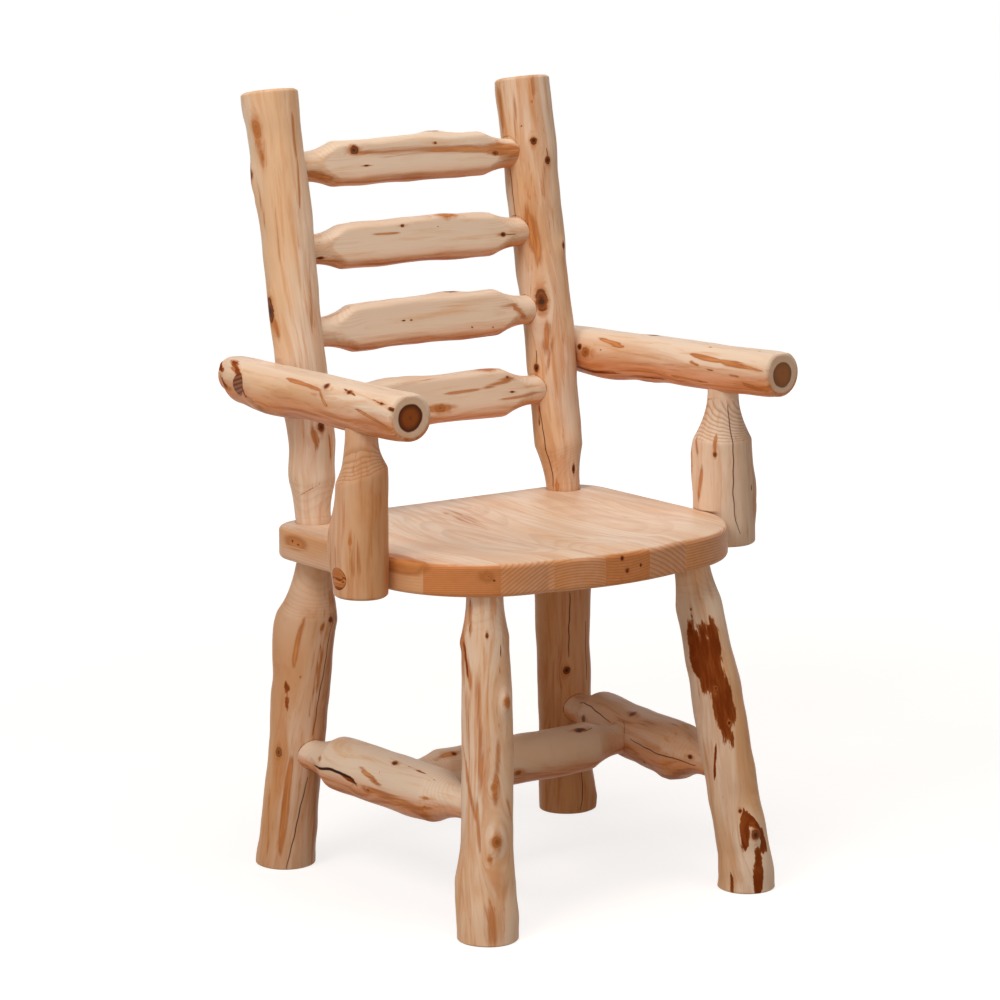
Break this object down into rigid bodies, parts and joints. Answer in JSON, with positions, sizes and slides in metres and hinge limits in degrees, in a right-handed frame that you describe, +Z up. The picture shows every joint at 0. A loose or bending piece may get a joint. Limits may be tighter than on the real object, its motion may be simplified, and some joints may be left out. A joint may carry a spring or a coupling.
{
  "type": "log ladder-back armchair",
  "caption": "Armchair of peeled logs with round tenon joints, a hollowed seat of glued boards, horizontal back slats and log arms on uprights.",
  "frame": {"origin": "on the floor, under the middle of the chair's bounding box", "axes": "+X to the sitter's left, +Y to the back, +Z up"},
  "size_m": [0.6532, 0.5731, 1.0147],
  "materials": {
    "seat_wood": "satin clear finish on glued pine boards",
    "log_wood": "satin clear finish on peeled logs",
    "plug_wood": "satin clear finish on wooden plugs",
    "steel": "plain steel"
  },
  "bodies": {
    "root": {"seat_board_1": "seat_wood", "seat_board_2": "seat_wood", "seat_board_3": "seat_wood", "seat_board_4": "seat_wood", "seat_board_5": "seat_wood", "seat_board_6": "seat_wood", "seat_board_7": "seat_wood", "seat_board_8": "seat_wood", "front_leg_left": "log_wood", "front_leg_right": "log_wood", "rear_leg_left": "log_wood", "rear_leg_right": "log_wood", "side_stretcher_left": "log_wood", "side_stretcher_right": "log_wood", "cross_stretcher": "log_wood", "back_post_left": "log_wood", "back_post_right": "log_wood", "back_slat_1": "log_wood", "back_slat_2": "log_wood", "back_slat_3": "log_wood", "back_slat_4": "log_wood", "arm_left": "log_wood", "arm_right": "log_wood", "arm_upright_left": "log_wood", "arm_upright_right": "log_wood", "lag_screws": "steel", "lag_washers": "steel", "screw_plugs": "plug_wood"}
  },
  "joints": []
}
